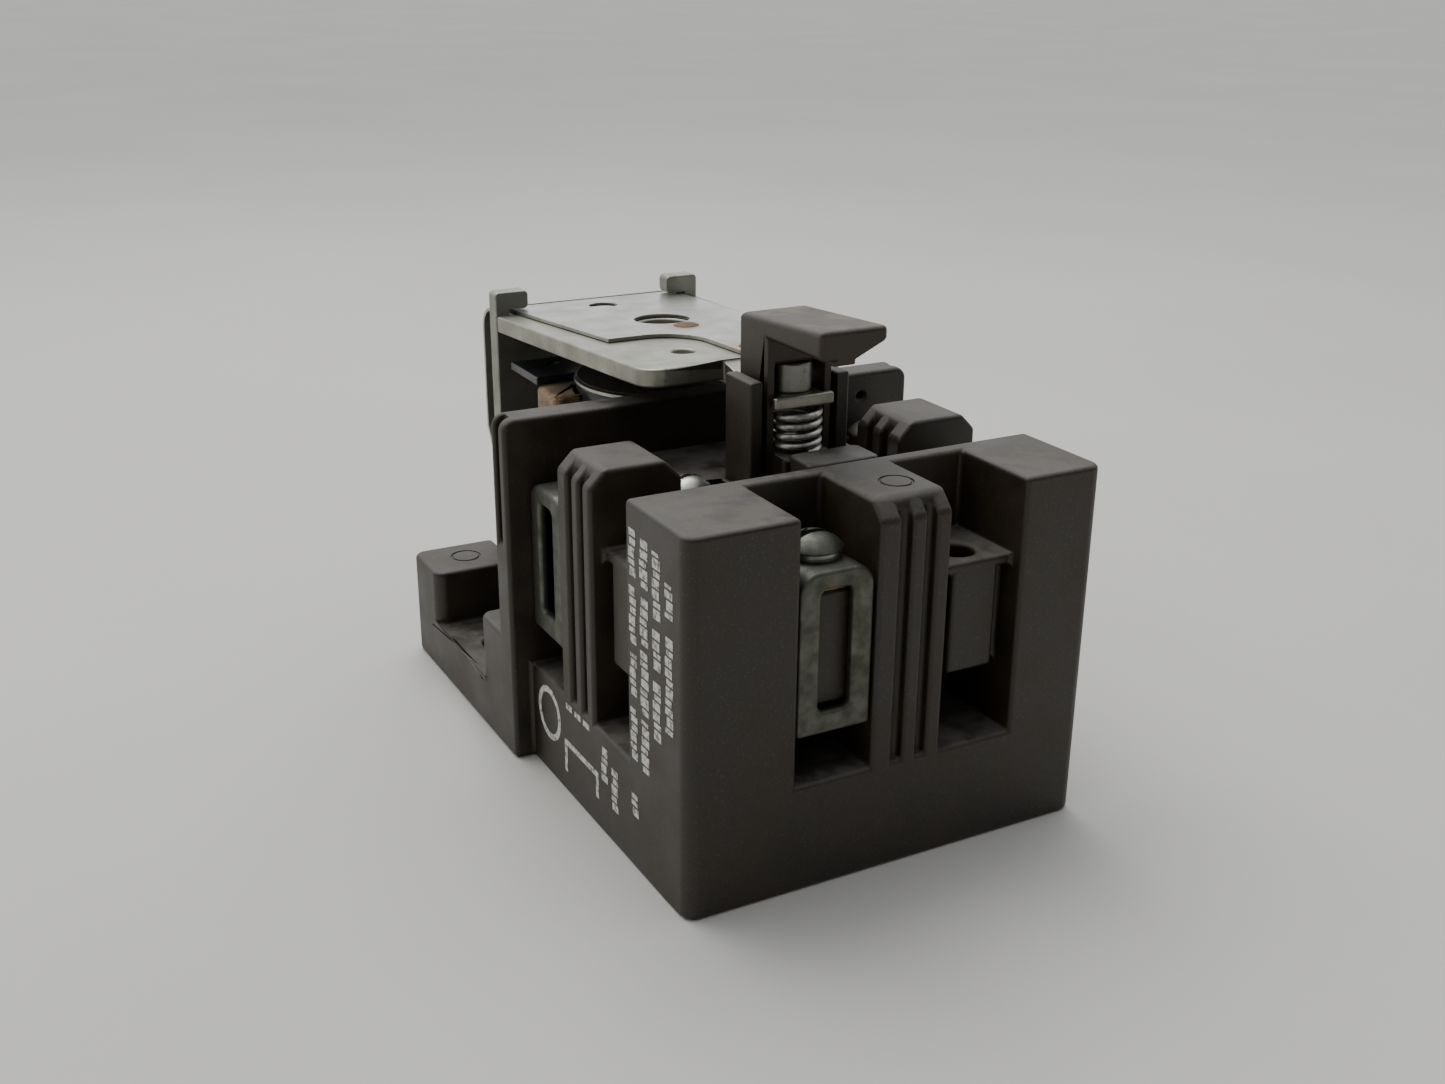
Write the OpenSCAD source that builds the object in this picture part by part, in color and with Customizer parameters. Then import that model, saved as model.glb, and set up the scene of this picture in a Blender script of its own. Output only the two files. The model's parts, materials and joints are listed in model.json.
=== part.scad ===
// Open-frame industrial control relay: a hinged clapper magnet works one bridging
// contact through a moulded carrier. The origin is the middle of the bounding box
// on the mounting face. Every sub-part is laid out with x from the centreline,
// y back from the front face of the contact block and z up from the mounting face.

/* [Contact block] */
// Width of the contact block
block_w = 64; // [63:0.5:65]
// Height of the contact block
block_h = 53.4; // [53:0.1:54]
// Height of the sill under the wire openings
sill_h = 15.9; // [14:0.1:17]
// Depth of the front row of terminal cavities
cavity_d = 14.6; // [14:0.1:15]
// Vertical edge rounding of the moulding
edge_r = 2; // [0.5:0.1:2]

/* [Tall wall and rear shelf] */
// Width of the tall wall and of the rear shelf
wall_w = 70.4; // [69:0.1:72]
// Height of the tall wall
wall_h = 54.8; // [54.5:0.1:55]
// Thickness of the tall wall
wall_t = 4.9; // [4:0.1:4.9]
// Length of the moulding from front to back
base_l = 100; // [99:0.5:100]
// Length of the whole relay, to the back of the hinge spring
overall_l = 103.6; // [103.6:0.1:104]
// Height of the floor that the mounting screws clamp
recess_floor = 8.6; // [7:0.1:10]

/* [Mounting] */
// Distance between the two mounting holes
mount_spacing = 56; // [54:0.5:58]
// Distance of the mounting holes from the front face
mount_y = 77; // [75:0.5:79]
// Radius of the mounting holes
mount_r = 2.75; // [2.25:0.05:3]

/* [Magnet] */
// Width of the steel back plate
yoke_w = 38.5; // [38:0.1:39]
// Thickness of the yoke steel
yoke_t = 3.2; // [3:0.1:3.2]
// Thickness of the armature steel
armature_t = 2.8; // [2.6:0.1:2.8]
// Angle at which the armature stands open
open_angle = 2.6; // [2.4:0.05:2.6]
// Radius of the core
core_r = 5.5; // [5:0.1:5.5]
// Outer radius of the wrapped coil
coil_r = 13.6; // [13:0.1:13.6]

/* [Carrier and contacts] */
// Width of the moulded carrier
carrier_w = 10.5; // [10.3:0.1:10.6]
// Height of the underside of the bridging contact
bridge_z = 37.4; // [37.3:0.1:37.5]
// Gap between the open contact tips
contact_gap = 2.25; // [2.2:0.01:2.3]
// Outer diameter of the link spring
spring_d = 7.6; // [7:0.1:7.8]
// Wire of the link spring
spring_wire = 1.0; // [0.8:0.05:1.1]

/* [Terminals] */
// Height of the top of a terminal tongue
tongue_h = 42; // [41.9:0.05:42.1]
// Thickness of a terminal plate
plate_t = 1.2; // [1:0.05:1.2]
// Width of a saddle clamp
clamp_w = 11.2; // [10.8:0.1:11.2]
// Radius of a terminal screw thread
screw_r = 1.95; // [1.9:0.01:1.95]
// Radius of a terminal screw head
head_r = 4.1; // [3.8:0.1:4.2]

/* [Hidden] */

phenolic = "#3b2c25";
steel = "#8d8f8a";
zinc = "#a3a59d";
copper = "#b5714a";
brass = "#b99a53";
silver = "#c9c9c4";
black = "#1b1c20";
tape = "#b9783f";
fibre = "#5a3d2c";

eps = 0.05;
over = 1;
half_block = block_w / 2;
half_wall = wall_w / 2;

// Terminal cavities: [x or y of the two side walls]
front_left_cavity = [-15.85, -4.15];
front_right_cavity = [7.1, 18.95];
near_cavity = [17.3, 28.7];
far_cavity = [40.0, 51.9];
wall_y = far_cavity[1];
wall_back = wall_y + wall_t;
rear_wall_t = 2.7;
rim_y = cavity_d + rear_wall_t;

// Barriers between the cavities carry three ribs and two slots at their ends
barrier_chamfer = 2.5;
barrier_len = 14;
rib_slot_d = 1.5;
rib_slots = [[3.3, 1.7], [7.3, 1.5]];

// Contact chamber under the arc cover
chamber_hx = 15;
chamber_y = [20, 49];
cover_z = 44;
cover_t = 3;
cover_top = cover_z + cover_t;
cover_hx = half_block - cavity_d;
cover_screw_x = 14;
cover_screw_y = (near_cavity[1] + far_cavity[0]) / 2;
boss_r = 2.4;

// Cored underside closed by an insulating plate
core_pocket_hx = 14.5;
core_pocket_y = [18, 48.5];
core_pocket_top = 28.5;
insulator_lip = 2.5;
insulator_t = 1.2;

// Rear shelf: a platform for the magnet between two open mounting recesses
platform_hx = 20.5;
platform_h = 16;
step_y = 66;
step_h = 19.7;
ear_y = 87.5;
ear_h = 18.2;

// Terminal hardware, measured inward from the outer face of its cavity
tongue_front = 2.2;
tongue_bottom = 25.8;
tongue_lip = 1.5;
tongue_slot_w = 2.1;
tongue_slot_d = 2.4;
screw_depth = 7;
clamp_front_y = 0.5;
clamp_skirt_t = 1.5;
clamp_bottom = 22.6;
clamp_bar = 3.2;
clamp_flange_t = 2.2;
clamp_flange_d = 9.8;
plate_top = tongue_h + plate_t;
clamp_top = plate_top + 0.1 + clamp_flange_t;
washer_t = 1.1;
head_gap = 0.05;
head_h = 2.1;

// Magnet positions
coil_y = 71.5;
yoke_bottom = platform_h;
yoke_back = [95.9, 95.9 + yoke_t];
winding_z = [20.7, 51];
flange_t = 1.4;
pole_z = 53.4;
pole_top = 56.5;
hinge_y = 97.5;
hinge_z = 56.9;
ear_top = 63.7;
ear_head_z = 60.6;
ear_stem_w = 2.55;
ear_head_w = 6;
tail_hx = 16.4;
shoulder_hx = 19.2;
shoulder_y = 95.6;
armature_front = 42.6;
armature_front_hx = 16.8;
armature_corner_r = 3.5;
leaf_t = 0.6;
leaf_gap = 0.1;
leaf_hole = [2, 75, 4.6];
rear_hole = [-0.8, 92.3, 2.5];
leaf_end = 99.2;
leaf_rivets = [[2.8, 67.7], [3.6, 47.4]];
dimple = [-5.5, 52.5];

// Coil leads run down beside the bobbin into the platform
lead_x = 17.2;
lead_y = 78.4;
lead_r = 0.9;

// Armature arm, level when the armature is open
arm_hx = 4.8;
arm_root_hx = 3.8;
arm_top = 60.7;
arm_t = 1.8;
arm_back = 45.4;
arm_tip = 26;
tip_back = 27.2;
neck_hx = 3.4;
neck_back = 36.4;
stud_r = 3.1;
stud_y = 30.4;
stud_h = 4.2;

// Carrier
carrier_hx = carrier_w / 2;
carrier_y = [27.7, 35.4];
cheek_in = 4.1;
carrier_block_z = 65;
beam_under = 68.6;
beam_front = 14;
beam_top_back = 71.2;
beam_top_front = 72.6;
seat_z = [49.5, 52.3];
seat_front = 24.4;
bar_z = 34.7;
window_top = 48.4;
bridge_y = 31.4;
bridge_hy = 2.3;
bridge_hx = 11;
bridge_t = 1;
tip_r = 1.9;
tip_t = 1;
tip_x = 9;
foot_top = bridge_z - tip_t - contact_gap - tip_t;
chamber_floor = foot_top - plate_t;

// ---- helpers -------------------------------------------------------------

// Everything is drawn from the front face and moved to the middle of the box
module placed() {
    translate([0, -overall_l / 2, 0]) children();
}

// Box from one corner to the opposite one
module span(lo, hi) {
    translate(lo) cube(hi - lo);
}

// Box whose vertical edges are rounded
module rounded_span(lo, hi, r) {
    span([lo[0] + r, lo[1], lo[2]], [hi[0] - r, hi[1], hi[2]]);
    span([lo[0], lo[1] + r, lo[2]], [hi[0], hi[1] - r, hi[2]]);
    for (x = [lo[0] + r, hi[0] - r], y = [lo[1] + r, hi[1] - r])
        translate([x, y, lo[2]]) cylinder(r = r, h = hi[2] - lo[2], $fn = 48);
}

// Profile in the y-z plane, extruded from x0 to x1
module side_profile(x0, x1, points) {
    translate([x0, 0, 0]) rotate([90, 0, 90]) linear_extrude(x1 - x0) polygon(points);
}

// Profile in the x-z plane, extruded from y0 to y1
module front_profile(y0, y1, points) {
    translate([0, y1, 0]) rotate([90, 0, 0]) linear_extrude(y1 - y0) polygon(points);
}

module on_both_sides() {
    children();
    mirror([1, 0, 0]) children();
}

// Local frame of a terminal: x across the cavity, y inward, z up
module at_front_cavity(cavity) {
    translate([(cavity[0] + cavity[1]) / 2, 0, 0]) children();
}

module at_left_cavity(cavity) {
    translate([-half_block, (cavity[0] + cavity[1]) / 2, 0]) rotate([0, 0, -90]) children();
}

module at_right_cavity(cavity) {
    translate([half_block, (cavity[0] + cavity[1]) / 2, 0]) rotate([0, 0, 90]) children();
}

// Slotted pan head that stands on z = 0
module pan_head(r, h, slot_w) {
    dome_r = (r * r + h * h) / (2 * h);
    difference() {
        intersection() {
            cylinder(r = r, h = h, $fn = 64);
            translate([0, 0, h - dome_r]) sphere(r = dome_r, $fn = 96);
            translate([0, 0, -r]) cylinder(r = r, h = h + r, $fn = 64);
        }
        span([-r - over, -slot_w / 2, h * 0.5], [r + over, slot_w / 2, h + over]);
    }
}

// Coil of round wire about the z axis: a swept polyhedron with closed end turns
function wire_turn_z(t, z0, z1, turns, wire) =
    let (dead = 0.9, lo = z0 + wire / 2, hi = z1 - wire / 2, pitch_lo = wire * 1.02)
    t < dead ? lo + pitch_lo * t
    : t > turns - dead ? hi - pitch_lo * (turns - t)
    : lo + pitch_lo * dead
        + (hi - lo - 2 * pitch_lo * dead) * (t - dead) / (turns - 2 * dead);

module wire_coil(r, wire, z0, z1, turns) {
    sides = 8;
    steps = 16;
    count = floor(turns * steps);
    points = [for (i = [0:count]) let (t = i / steps, a = 360 * t)
        for (k = [0:sides - 1]) let (b = 360 * k / sides)
            [(r + wire / 2 * cos(b)) * cos(a), (r + wire / 2 * cos(b)) * sin(a),
             wire_turn_z(t, z0, z1, turns, wire) + wire / 2 * sin(b)]];
    skin = [for (i = [0:count - 1], k = [0:sides - 1])
        [i * sides + k, (i + 1) * sides + k,
         (i + 1) * sides + (k + 1) % sides, i * sides + (k + 1) % sides]];
    start_cap = [[for (k = [0:sides - 1]) k]];
    end_cap = [[for (k = [sides - 1:-1:0]) count * sides + k]];
    polyhedron(points = points, faces = concat(start_cap, skin, end_cap), convexity = 8);
}

// ---- moulded base ----------------------------------------------------------

// Slots that leave three ribs on the end face of a barrier; z0 is their foot
module rib_slots_cut(z0) {
    for (s = rib_slots)
        span([s[0], -over, z0], [s[0] + s[1], rib_slot_d, block_h + over]);
}

// Wedge that chamfers the top edge of a barrier's end face
module barrier_chamfer_cut(width) {
    side_profile(-over, width + over, [[-over, block_h - barrier_chamfer - over],
        [barrier_chamfer + over, block_h + over], [-over, block_h + over]]);
}

module tall_wall() {
    top_r = 2;
    span([-half_wall, wall_y, 0], [half_wall, wall_back, wall_h - top_r]);
    span([-half_wall + top_r, wall_y, wall_h - top_r - eps], [half_wall - top_r, wall_back, wall_h]);
    for (x = [-half_wall + top_r, half_wall - top_r])
        translate([x, wall_back, wall_h - top_r]) rotate([90, 0, 0])
            cylinder(r = top_r, h = wall_t, $fn = 48);
}

module rear_shelf() {
    y0 = wall_back - eps;
    rounded_span([-half_wall, y0 - 2 * edge_r, 0], [half_wall, base_l, recess_floor], edge_r);
    span([-platform_hx, y0, 0], [platform_hx, base_l, platform_h]);
    on_both_sides() {
        shelf_block(y0 - 2 * edge_r, step_y, step_h);
        shelf_block(ear_y, base_l, ear_h);
    }
}

// Block beside the platform, rounded at its two outer edges
module shelf_block(y0, y1, h) {
    x1 = half_wall;
    span([platform_hx - eps, y0, 0], [x1 - edge_r, y1, h]);
    span([platform_hx - eps, y0 + edge_r, 0], [x1, y1 - edge_r, h]);
    for (y = [y0 + edge_r, y1 - edge_r])
        translate([x1 - edge_r, y, 0]) cylinder(r = edge_r, h = h, $fn = 48);
}

// Tongue that stands in a cavity of the given width, with the hole of its screw
module tongue(width) {
    hw = width / 2 + eps;
    difference() {
        span([-hw, tongue_front, tongue_bottom], [hw, cavity_d + eps, tongue_h]);
        for (s = [-1, 1])
            span([s * width / 2 - (s > 0 ? tongue_slot_w : over), tongue_front - over,
                  tongue_bottom - over],
                 [s * width / 2 + (s > 0 ? over : tongue_slot_w), tongue_front + tongue_slot_d,
                  tongue_h - tongue_lip]);
        translate([0, screw_depth, tongue_bottom + 2])
            cylinder(r = 2.5, h = tongue_h, $fn = 48);
    }
}

module chamber_cut() {
    span([-chamber_hx, chamber_y[0], chamber_floor], [chamber_hx, chamber_y[1], cover_z + over]);
    span([-barrier_len - 4, rim_y, cover_z], [barrier_len + 4, wall_y, block_h + over]);
    span([-core_pocket_hx, core_pocket_y[0], -over],
         [core_pocket_hx, core_pocket_y[1], core_pocket_top]);
    span([-core_pocket_hx - insulator_lip, core_pocket_y[0] - insulator_lip, -over],
         [core_pocket_hx + insulator_lip, core_pocket_y[1] + insulator_lip, insulator_t]);
}

// Grooves and slots that the terminal plates pass through into the chamber
module plate_passages() {
    on_both_sides()
        span([-cover_hx - eps, 43.75, tongue_h - 0.1], [-chamber_hx + over, 48.15, cover_z + over]);
    span([chamber_hx - over, 20.8, tongue_h - 0.1], [cover_hx + eps, 25.2, cover_z + over]);
    at_front_cavity(front_left_cavity)
        span([-2.2, cavity_d - over, tongue_h - 0.1], [2.2, chamber_y[0] + over, plate_top + 0.2]);
}

module cover_screw_bosses() {
    on_both_sides() difference() {
        union() {
            translate([cover_screw_x, cover_screw_y, chamber_floor - eps])
                cylinder(r = boss_r, h = cover_z - chamber_floor + eps, $fn = 48);
            span([cover_screw_x, cover_screw_y - boss_r, chamber_floor - eps],
                 [cover_hx, cover_screw_y + boss_r, cover_z]);
        }
        cover_screw_bore();
    }
}

module cover_screw_bore() {
    translate([cover_screw_x, cover_screw_y, cover_z - 9]) cylinder(r = 1.3, h = 9 + over, $fn = 32);
}

module base_moulding() {
    wall_groove = [54.2, 55.7];
    color(phenolic) placed() {
        difference() {
            union() {
                rounded_span([-half_block, 0, 0], [half_block, wall_y + 2 * edge_r, block_h], edge_r);
                tall_wall();
                rear_shelf();
            }
            for (c = [front_left_cavity, front_right_cavity])
                span([c[0], -over, sill_h], [c[1], cavity_d, block_h + over]);
            on_both_sides() for (c = [near_cavity, far_cavity])
                span([-half_block - over, c[0], sill_h],
                     [-half_block + cavity_d, c[1], block_h + over]);
            chamber_cut();
            plate_passages();
            // ribs and chamfers of the front barrier, then of the two side barriers
            translate([front_left_cavity[1], 0, 0]) {
                rib_slots_cut(sill_h);
                barrier_chamfer_cut(front_right_cavity[0] - front_left_cavity[1]);
            }
            on_both_sides() {
                translate([-half_block, far_cavity[0], 0]) rotate([0, 0, -90]) {
                    rib_slots_cut(sill_h);
                    barrier_chamfer_cut(far_cavity[0] - near_cavity[1]);
                }
                translate([-half_block + barrier_len, near_cavity[1], 0]) rotate([0, 0, 90]) {
                    rib_slots_cut(cover_z);
                    barrier_chamfer_cut(far_cavity[0] - near_cavity[1]);
                }
                span([-half_wall - over, wall_groove[0], 35],
                     [-half_wall + 1.8, wall_groove[1], wall_h + over]);
                translate([mount_spacing / 2, mount_y, -over])
                    cylinder(r = mount_r, h = recess_floor + 2 * over, $fn = 64);
                translate([lead_x, lead_y, platform_h - 3]) cylinder(r = 1.1, h = 5, $fn = 32);
                cover_screw_bore();
                translate([15, 62.5, platform_h - 8]) cylinder(r = 1.7, h = 9, $fn = 32);
            }
            // small blind hole in the tall wall
            translate([26.4, wall_y + 3, 50.9]) rotate([90, 0, 0]) cylinder(r = 0.6, h = 4, $fn = 24);
            // round marks left by the ejector pins
            translate([2.8, 7.3, block_h - 0.25]) ejector_mark(2.4);
            translate([-27.5, 94, ear_h - 0.25]) ejector_mark(2.6);
            translate([27.5, 94, ear_h - 0.25]) ejector_mark(2.6);
        }
        cover_screw_bosses();
        at_front_cavity(front_left_cavity) tongue(front_left_cavity[1] - front_left_cavity[0]);
        at_front_cavity(front_right_cavity) tongue(front_right_cavity[1] - front_right_cavity[0]);
        for (c = [near_cavity, far_cavity]) {
            at_left_cavity(c) tongue(c[1] - c[0]);
            at_right_cavity(c) tongue(c[1] - c[0]);
        }
    }
}

module ejector_mark(r) {
    difference() {
        cylinder(r = r, h = over, $fn = 48);
        translate([0, 0, -over]) cylinder(r = r - 0.35, h = 3 * over, $fn = 48);
    }
}

module bottom_insulator() {
    gap = 0.15;
    color(fibre) placed() difference() {
        span([-core_pocket_hx - insulator_lip + gap, core_pocket_y[0] - insulator_lip + gap, 0],
             [core_pocket_hx + insulator_lip - gap, core_pocket_y[1] + insulator_lip - gap,
              insulator_t]);
        for (y = core_pocket_y)
            translate([0, y + (y < 30 ? -1.2 : 1.2), -over]) cylinder(r = 0.8, h = 4, $fn = 32);
    }
}

module bottom_screws() {
    color(zinc) placed() for (y = core_pocket_y)
        translate([0, y + (y < 30 ? -1.2 : 1.2), 0.1]) cylinder(r = 0.78, h = insulator_t - 0.1, $fn = 32);
}

// ---- arc cover with the guide pillars of the carrier -------------------------

module arc_cover() {
    pillar_x = [6, 8];
    pillar_h = 63;
    opening_hx = 5.75;
    opening_y = [27.3, 35.7];
    color(phenolic) placed() difference() {
        union() {
            span([-cover_hx, rim_y + 0.15, cover_z], [cover_hx, wall_y - 0.15, cover_top]);
            // block that carries on the front barrier
            rounded_span([front_left_cavity[1], rim_y + 0.1, cover_z],
                         [front_right_cavity[0], 23.6, block_h], 1);
            on_both_sides()
                span([pillar_x[0], opening_y[0], cover_z], [pillar_x[1], 34.8, pillar_h]);
        }
        span([-opening_hx, opening_y[0], cover_z - over], [opening_hx, opening_y[1], cover_top + over]);
        on_both_sides() {
            translate([cover_screw_x, cover_screw_y, cover_z - over])
                cylinder(r = 1.75, h = 6, $fn = 32);
            span([pillar_x[1], opening_y[0] - over, pillar_h - 1],
                 [pillar_x[1] + over, 36, pillar_h + over]);
        }
    }
}

module arc_cover_screws() {
    color(zinc) placed() on_both_sides()
        translate([cover_screw_x, cover_screw_y, cover_top]) {
            pan_head(3.3, 1.8, 0.9);
            translate([0, 0, -9]) cylinder(r = 1.25, h = 9 + eps, $fn = 32);
        }
}

// ---- magnet --------------------------------------------------------------------

module yoke_frame() {
    hx = yoke_w / 2;
    color(steel) placed() difference() {
        union() {
            span([-18, 59.5, yoke_bottom], [18, yoke_back[1], yoke_bottom + 3]);
            span([-hx, yoke_back[0], yoke_bottom], [hx, yoke_back[1], hinge_z - 0.4]);
            on_both_sides() {
                span([hx - ear_stem_w, yoke_back[0], yoke_bottom + 3], [hx, yoke_back[1], ear_top - 0.8]);
                ear_head(hx);
            }
        }
        translate([0, coil_y, yoke_bottom - over]) cylinder(r = 3, h = 5, $fn = 48);
        for (x = [-15, 15])
            translate([x, 62.5, yoke_bottom - over]) cylinder(r = 1.9, h = 5, $fn = 32);
        for (x = [-lead_x, lead_x])
            translate([x, lead_y, yoke_bottom - over]) cylinder(r = 1.6, h = 5, $fn = 32);
        for (x = [-10, 10])
            translate([x, yoke_back[0] - over, 27]) rotate([-90, 0, 0]) cylinder(r = 1.6, h = 6, $fn = 32);
    }
}

// Hooked head of an ear, rounded at its three free corners
module ear_head(hx) {
    r = 0.8;
    x0 = hx - ear_head_w;
    span([x0 + r, yoke_back[0], ear_head_z], [hx, yoke_back[1], ear_top - r]);
    span([x0, yoke_back[0], ear_head_z + r], [hx, yoke_back[1], ear_top - r]);
    span([x0 + r, yoke_back[0], ear_head_z], [hx - r, yoke_back[1], ear_top]);
    for (p = [[x0 + r, ear_head_z + r], [x0 + r, ear_top - r], [hx - r, ear_top - r]])
        translate([p[0], yoke_back[1], p[1]]) rotate([90, 0, 0]) cylinder(r = r, h = yoke_t, $fn = 32);
}

module yoke_screws() {
    color(zinc) placed() for (x = [-15, 15]) translate([x, 62.5, yoke_bottom + 3]) {
        pan_head(2.8, 1.9, 0.8);
        translate([0, 0, -9.5]) cylinder(r = 1.65, h = 9.5 + eps, $fn = 32);
    }
}

module core() {
    color(steel) placed() translate([0, coil_y, 0]) difference() {
        union() {
            translate([0, 0, yoke_bottom]) cylinder(r = 2.95, h = 4, $fn = 64);
            translate([0, 0, yoke_bottom + 3]) cylinder(r = core_r, h = pole_top - yoke_bottom - 3, $fn = 96);
            translate([0, 0, pole_z + 0.7]) cylinder(r = 8.5, h = pole_top - pole_z - 0.7, $fn = 96);
        }
        translate([2, 0, pole_top - 0.8]) difference() {
            cylinder(r = 4.6, h = 2, $fn = 64);
            translate([0, 0, -over]) cylinder(r = 3.2, h = 4, $fn = 64);
        }
    }
}

module shading_ring() {
    color(copper) placed() translate([2, coil_y, pole_top - 0.8]) difference() {
        cylinder(r = 4.57, h = 0.75, $fn = 64);
        translate([0, 0, -over]) cylinder(r = 3.23, h = 4, $fn = 64);
    }
}

module bobbin() {
    top = winding_z[1];
    color(black) placed() difference() {
        union() {
            translate([0, coil_y, yoke_bottom + 3]) cylinder(r = 6.8, h = top + flange_t - yoke_bottom - 3, $fn = 96);
            translate([0, coil_y, yoke_bottom + 3]) cylinder(r = 14, h = 1.4, $fn = 96);
            translate([0, coil_y, top]) cylinder(r = 14, h = flange_t, $fn = 96);
            span([-18.1, 81, top], [18.1, 92.8, top + flange_t]);
            span([-9, 74, top], [9, 82, top + flange_t]);
        }
        translate([0, coil_y, 0]) cylinder(r = core_r + 0.05, h = 80, $fn = 96);
        for (x = [-12, 12]) translate([x, 89, top - over]) cylinder(r = 1.2, h = 4, $fn = 32);
    }
}

module coil_winding() {
    color(copper) placed() translate([0, coil_y, winding_z[0]]) difference() {
        cylinder(r = coil_r - 0.6, h = winding_z[1] - winding_z[0] - 0.1, $fn = 96);
        translate([0, 0, -over]) cylinder(r = 6.85, h = 40, $fn = 96);
    }
}

module coil_wrap() {
    color(black) placed() translate([0, coil_y, winding_z[0]]) difference() {
        cylinder(r = coil_r, h = winding_z[1] - winding_z[0] - 0.1, $fn = 96);
        translate([0, 0, -over]) cylinder(r = coil_r - 0.55, h = 40, $fn = 96);
    }
}

// Folded tape pads over the splices at the start and the end of the winding
module coil_lead_pads() {
    color(tape) placed() on_both_sides() difference() {
        rounded_span([-18, 73.5, 44], [-8, 82, winding_z[1] - 0.1], 1.2);
        translate([0, coil_y, 0]) cylinder(r = coil_r + 0.05, h = 60, $fn = 96);
    }
}

module coil_leads() {
    color(black) placed() for (x = [-lead_x, lead_x])
        translate([x, lead_y, platform_h - 2.9]) cylinder(r = lead_r, h = 30.9, $fn = 24);
}

module coil_top_plate() {
    color(zinc) placed() translate([0, coil_y, winding_z[1] + flange_t]) difference() {
        cylinder(r = 14.3, h = 0.6, $fn = 128);
        translate([0, 0, -over]) cylinder(r = 6, h = 4, $fn = 64);
    }
}

module coil_paper_washer() {
    color(fibre) placed() translate([0, coil_y, winding_z[1] + flange_t + 0.6]) difference() {
        cylinder(r = 13.8, h = 0.4, $fn = 128);
        translate([0, 0, -over]) cylinder(r = 6, h = 4, $fn = 64);
    }
}

// Strap of the hinge spring: foot on the back plate, bow, and bend over the hinge
module hinge_spring() {
    hx = yoke_w / 2 - 0.3;
    foot = yoke_back[1];
    bow_y = overall_l;
    bend_r = 4.2;
    bend_start = 0.3;
    bend_c = [bow_y - bend_r, hinge_z - 0.65];
    color(steel) placed() difference() {
        union() {
            side_profile(-hx, hx, [[foot, 21], [foot + leaf_t, 21], [foot + leaf_t, 32],
                [bow_y, 38.2], [bow_y, bend_c[1]], [bow_y - leaf_t, bend_c[1]],
                [bow_y - leaf_t, 38.6], [foot, 32.4]]);
            translate([-hx, bend_c[0], bend_c[1]]) rotate([0, 90, 0]) difference() {
                cylinder(r = bend_r, h = 2 * hx, $fn = 64);
                translate([0, 0, -over]) cylinder(r = bend_r - leaf_t, h = 2 * hx + 2 * over, $fn = 64);
                translate([0, -2 * bend_r, -over]) cube([2 * bend_r, 4 * bend_r, 2 * hx + 2 * over]);
                translate([-2 * bend_r, -2 * bend_r, -over])
                    cube([4 * bend_r, 2 * bend_r + bend_start, 2 * hx + 2 * over]);
            }
        }
        // window that leaves two bowed legs
        span([-11, foot, 44], [11, overall_l + over, hinge_z + 1.9]);
        for (x = [-10, 10])
            translate([x, foot - over, 27]) rotate([-90, 0, 0]) cylinder(r = 1.6, h = 4, $fn = 32);
    }
}

module hinge_spring_rivets() {
    color(steel) placed() for (x = [-10, 10]) translate([x, yoke_back[0], 27]) rotate([-90, 0, 0]) {
        cylinder(r = 1.55, h = yoke_t + leaf_t, $fn = 32);
        translate([0, 0, yoke_t + leaf_t]) pan_head_plain(2.6, 1.1);
    }
}

module pan_head_plain(r, h) {
    dome_r = (r * r + h * h) / (2 * h);
    intersection() {
        cylinder(r = r, h = h, $fn = 48);
        translate([0, 0, h - dome_r]) sphere(r = dome_r, $fn = 96);
    }
}

// ---- armature ----------------------------------------------------------------------

// Frame of the closed armature, turned up to its open position about the hinge
module opened() {
    translate([0, hinge_y, hinge_z]) rotate([-open_angle, 0, 0]) children();
}

module armature_plate() {
    back = leaf_end - hinge_y;
    front = armature_front - hinge_y;
    shoulder = shoulder_y - hinge_y;
    fx = armature_front_hx;
    r = armature_corner_r;
    color(steel) placed() {
        opened() difference() {
            linear_extrude(armature_t) {
                polygon([[-tail_hx, back], [tail_hx, back], [tail_hx, shoulder],
                    [shoulder_hx, shoulder], [fx, front + r], [fx - r, front + r],
                    [fx - r, front], [-fx + r, front], [-fx + r, front + r], [-fx, front + r],
                    [-shoulder_hx, shoulder], [-tail_hx, shoulder]]);
                for (s = [-1, 1]) translate([s * (fx - r), front + r]) circle(r = r, $fn = 48);
            }
            leaf_rivet_holes(1.25);
            translate([dimple[0], dimple[1] - hinge_y, armature_t - 1.4]) cylinder(r = 1.8, h = 3, $fn = 32);
            translate([leaf_hole[0], leaf_hole[1] - hinge_y, -over]) cylinder(r = 4.1, h = 5, $fn = 64);
            span([rear_hole[0] - 4.5, 89.5 - hinge_y, -over], [-rear_hole[0] + 4.5, back + over, 5]);
        }
        arm();
    }
}

// Arm that bends down from the plate, with a neck that passes the carrier and a wide tip
module arm() {
    z0 = arm_top - arm_t;
    difference() {
        union() {
            side_profile(-arm_root_hx, arm_root_hx, [[neck_back, z0], [neck_back, arm_top],
                [armature_front + 0.4, arm_top + 1.4], [arm_back, arm_top + 1.2], [arm_back, z0]]);
            span([-neck_hx, arm_tip, z0], [neck_hx, neck_back + eps, arm_top]);
            span([-arm_hx, arm_tip, z0], [arm_hx, tip_back, arm_top]);
        }
        translate([0, stud_y, z0 - over]) cylinder(r = 1.5, h = 5, $fn = 32);
    }
}

module leaf_rivet_holes(r) {
    for (p = leaf_rivets) translate([p[0], p[1] - hinge_y, -over]) cylinder(r = r, h = 6, $fn = 32);
}

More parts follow.
